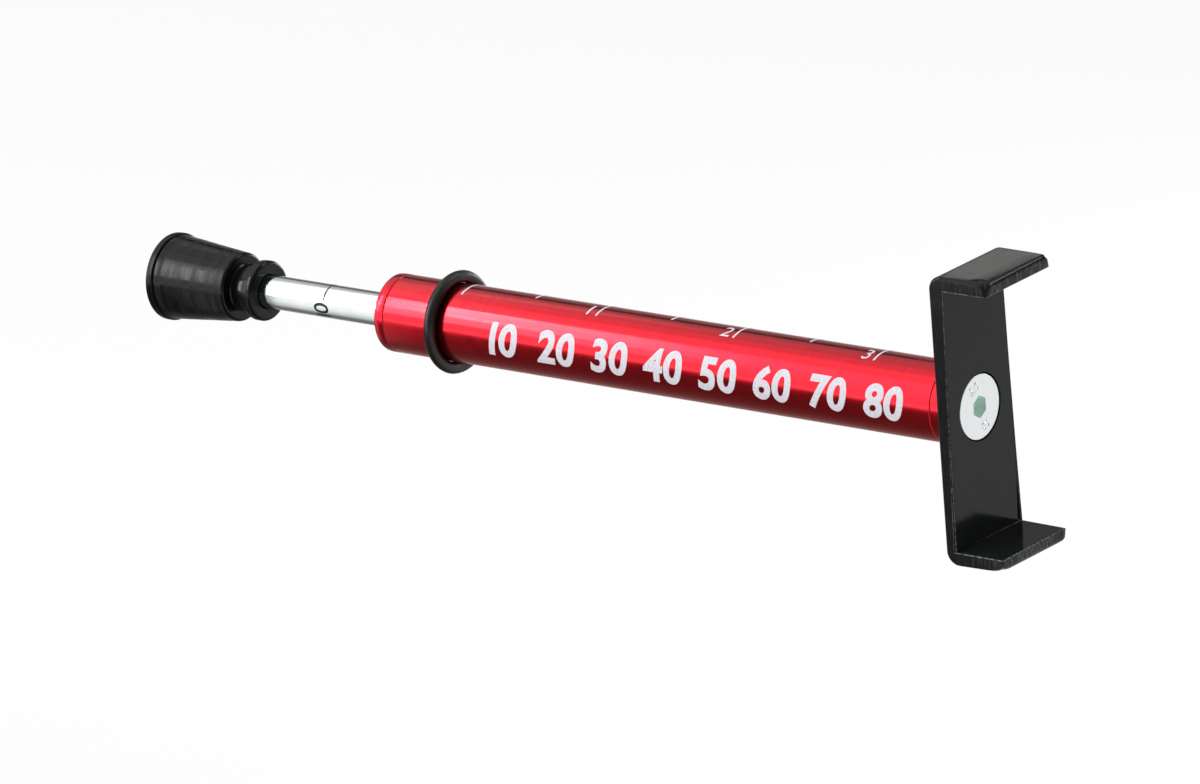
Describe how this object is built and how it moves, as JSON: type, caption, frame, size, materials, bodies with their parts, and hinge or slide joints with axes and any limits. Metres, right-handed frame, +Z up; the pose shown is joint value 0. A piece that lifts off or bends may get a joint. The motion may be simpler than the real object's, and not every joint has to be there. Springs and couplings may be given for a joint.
{
  "type": "belt tension gauge",
  "caption": "Pencil belt tension gauge: sprung rod with rubber push pad in a red barrel, sliding reading ring and bent steel cradle for the belt.",
  "frame": {"origin": "on the barrel's axis, at the middle of the overall length", "axes": "+X along the barrel from the push pad to the belt cradle, +Z up along the cradle's long side, +Y across the cradle"},
  "size_m": [0.1604, 0.0158, 0.0438],
  "materials": {
    "red_anodised": "red anodised turned aluminium, glossy, with fine turning lines",
    "bright_zinc": "bright zinc plated steel rod, nearly mirror smooth",
    "white_zinc": "white zinc plated steel, satin",
    "spring_steel": "drawn spring wire, lightly oiled",
    "black_paint": "glossy black paint on sheared sheet steel",
    "black_rubber": "moulded black rubber, matt to satin"
  },
  "bodies": {
    "barrel": {"barrel_tube": "red_anodised", "front_guide_cap": "red_anodised", "rear_plug": "red_anodised", "compression_spring": "spring_steel", "belt_cradle": "black_paint", "cradle_screw": "white_zinc"},
    "spring_follower": {"thrust_washer": "white_zinc"},
    "plunger": {"plunger_rod": "bright_zinc", "retaining_clip": "spring_steel", "rubber_stopper": "black_rubber"},
    "reading_ring": {"reading_ring": "black_rubber"}
  },
  "joints": [
    {"name": "plunger_slide", "type": "slide", "parent": "barrel", "child": "spring_follower", "axis": [1, 0, 0], "range_m": [0, 0.0253], "stiffness_N_per_m": 3500, "springref_m": -0.0006, "deforming": ["compression_spring"]},
    {"name": "plunger_spin", "type": "hinge", "parent": "spring_follower", "child": "plunger", "pos_m": [-0.04, 0, 0], "axis": [1, 0, 0], "continuous": true},
    {"name": "ring_slide", "type": "slide", "parent": "barrel", "child": "reading_ring", "axis": [1, 0, 0], "range_m": [-0.0102, 0.0929]}
  ]
}
